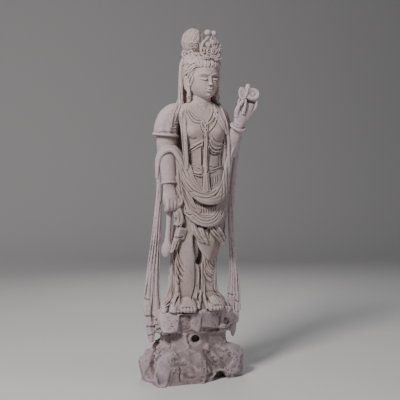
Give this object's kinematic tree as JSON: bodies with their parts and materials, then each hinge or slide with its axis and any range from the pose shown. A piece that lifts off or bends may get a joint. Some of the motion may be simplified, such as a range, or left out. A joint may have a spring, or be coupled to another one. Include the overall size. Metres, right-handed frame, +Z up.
{
  "type": "guanyin figure",
  "caption": "Standing robed Guanyin statue on a craggy rock, right hand lowered with a long-necked flask, left hand raised with a lotus.",
  "frame": {"origin": "on the flat underside of the rock, below the axis that the figure stands on", "axes": "+Z up, the figure faces -Y, its own left side is +X"},
  "size_m": [0.5038, 0.3023, 1.6009],
  "materials": {
    "cast_stone": "matt, stone-like, pale warm grey with brown dirt in the hollows"
  },
  "bodies": {
    "root": {"guanyin_on_rock": "cast_stone"}
  },
  "joints": []
}
